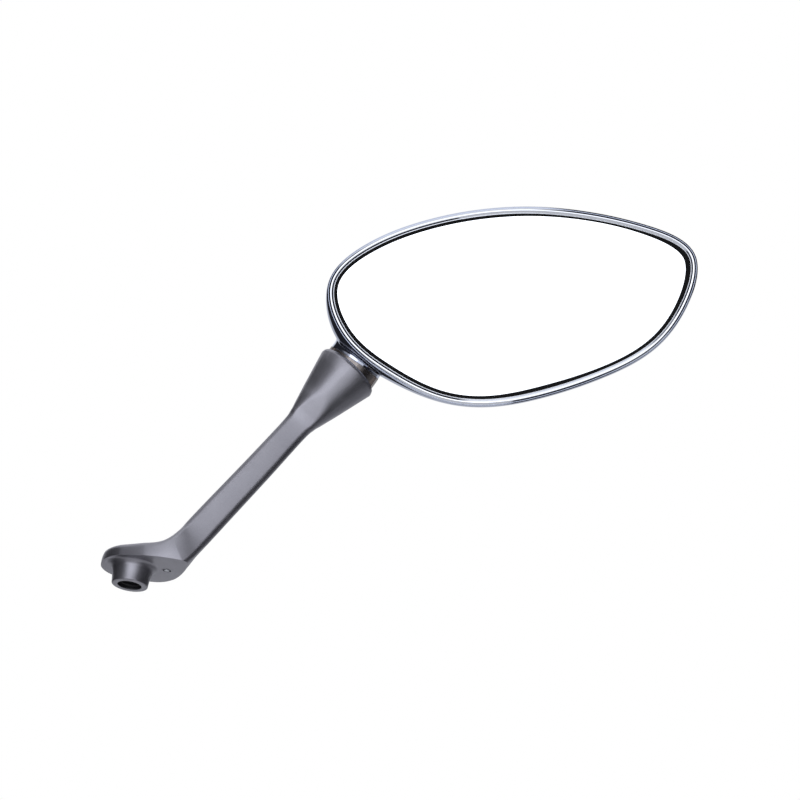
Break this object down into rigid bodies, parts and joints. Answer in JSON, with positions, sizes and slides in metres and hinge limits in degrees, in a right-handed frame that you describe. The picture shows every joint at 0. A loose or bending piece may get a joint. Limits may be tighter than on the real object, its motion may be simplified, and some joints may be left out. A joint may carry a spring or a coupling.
{
  "type": "motorcycle mirror",
  "caption": "Right-hand motorcycle mirror: cast arm with threaded boss, ball joint, chrome teardrop head with convex glass.",
  "frame": {"origin": "centre of the threaded boss's lower face, on the thread's axis", "axes": "+Z along the boss's axis from its mouth into the arm, +X along the lug towards the bend, +Y away from the rider; the glass faces about -Y"},
  "size_m": [0.2263, 0.0581, 0.1759],
  "materials": {
    "cast_paint": "satin metallic anthracite lacquer on cast aluminium",
    "steel": "bare steel",
    "nylon": "natural nylon",
    "chromed_cast": "bright chrome plate on cast aluminium",
    "chrome_rim": "bright chrome",
    "black_plastic": "moulded black plastic",
    "foam": "foam",
    "seal_rubber": "black rubber",
    "mirror_glass": "silvered convex glass"
  },
  "bodies": {
    "mirror_arm": {"arm": "cast_paint", "locating_pin": "steel", "ball_stud": "steel", "stud_washer": "steel"},
    "liner": {"ball_seat": "nylon"},
    "joint_cup": {"pressure_cup": "steel"},
    "mirror_head": {"ring_nut": "steel", "housing": "chromed_cast", "disc_spring_1": "steel", "disc_spring_2": "steel", "disc_spring_3": "steel", "thrust_washer": "steel", "backplate": "black_plastic", "backplate_screw_1": "steel", "backplate_screw_2": "steel", "backplate_screw_3": "steel", "backplate_screw_4": "steel", "foam_pad": "foam", "glass": "mirror_glass", "glass_seal": "seal_rubber", "bezel": "chrome_rim"}
  },
  "joints": [
    {"name": "tilt_in", "type": "hinge", "parent": "mirror_arm", "child": "liner", "pos_m": [0.07577, -0.0085, 0.10353], "axis": [0.8425, 0, -0.5388], "range_deg": [-28, 2]},
    {"name": "tilt_side", "type": "hinge", "parent": "liner", "child": "joint_cup", "pos_m": [0.07577, -0.0085, 0.10353], "axis": [0.1303, 0.9703, 0.2038], "range_deg": [-8, 16]},
    {"name": "swivel", "type": "hinge", "parent": "joint_cup", "child": "mirror_head", "pos_m": [0.07577, -0.0085, 0.10353], "axis": [0.4627, -0.2413, 0.853], "continuous": true}
  ]
}
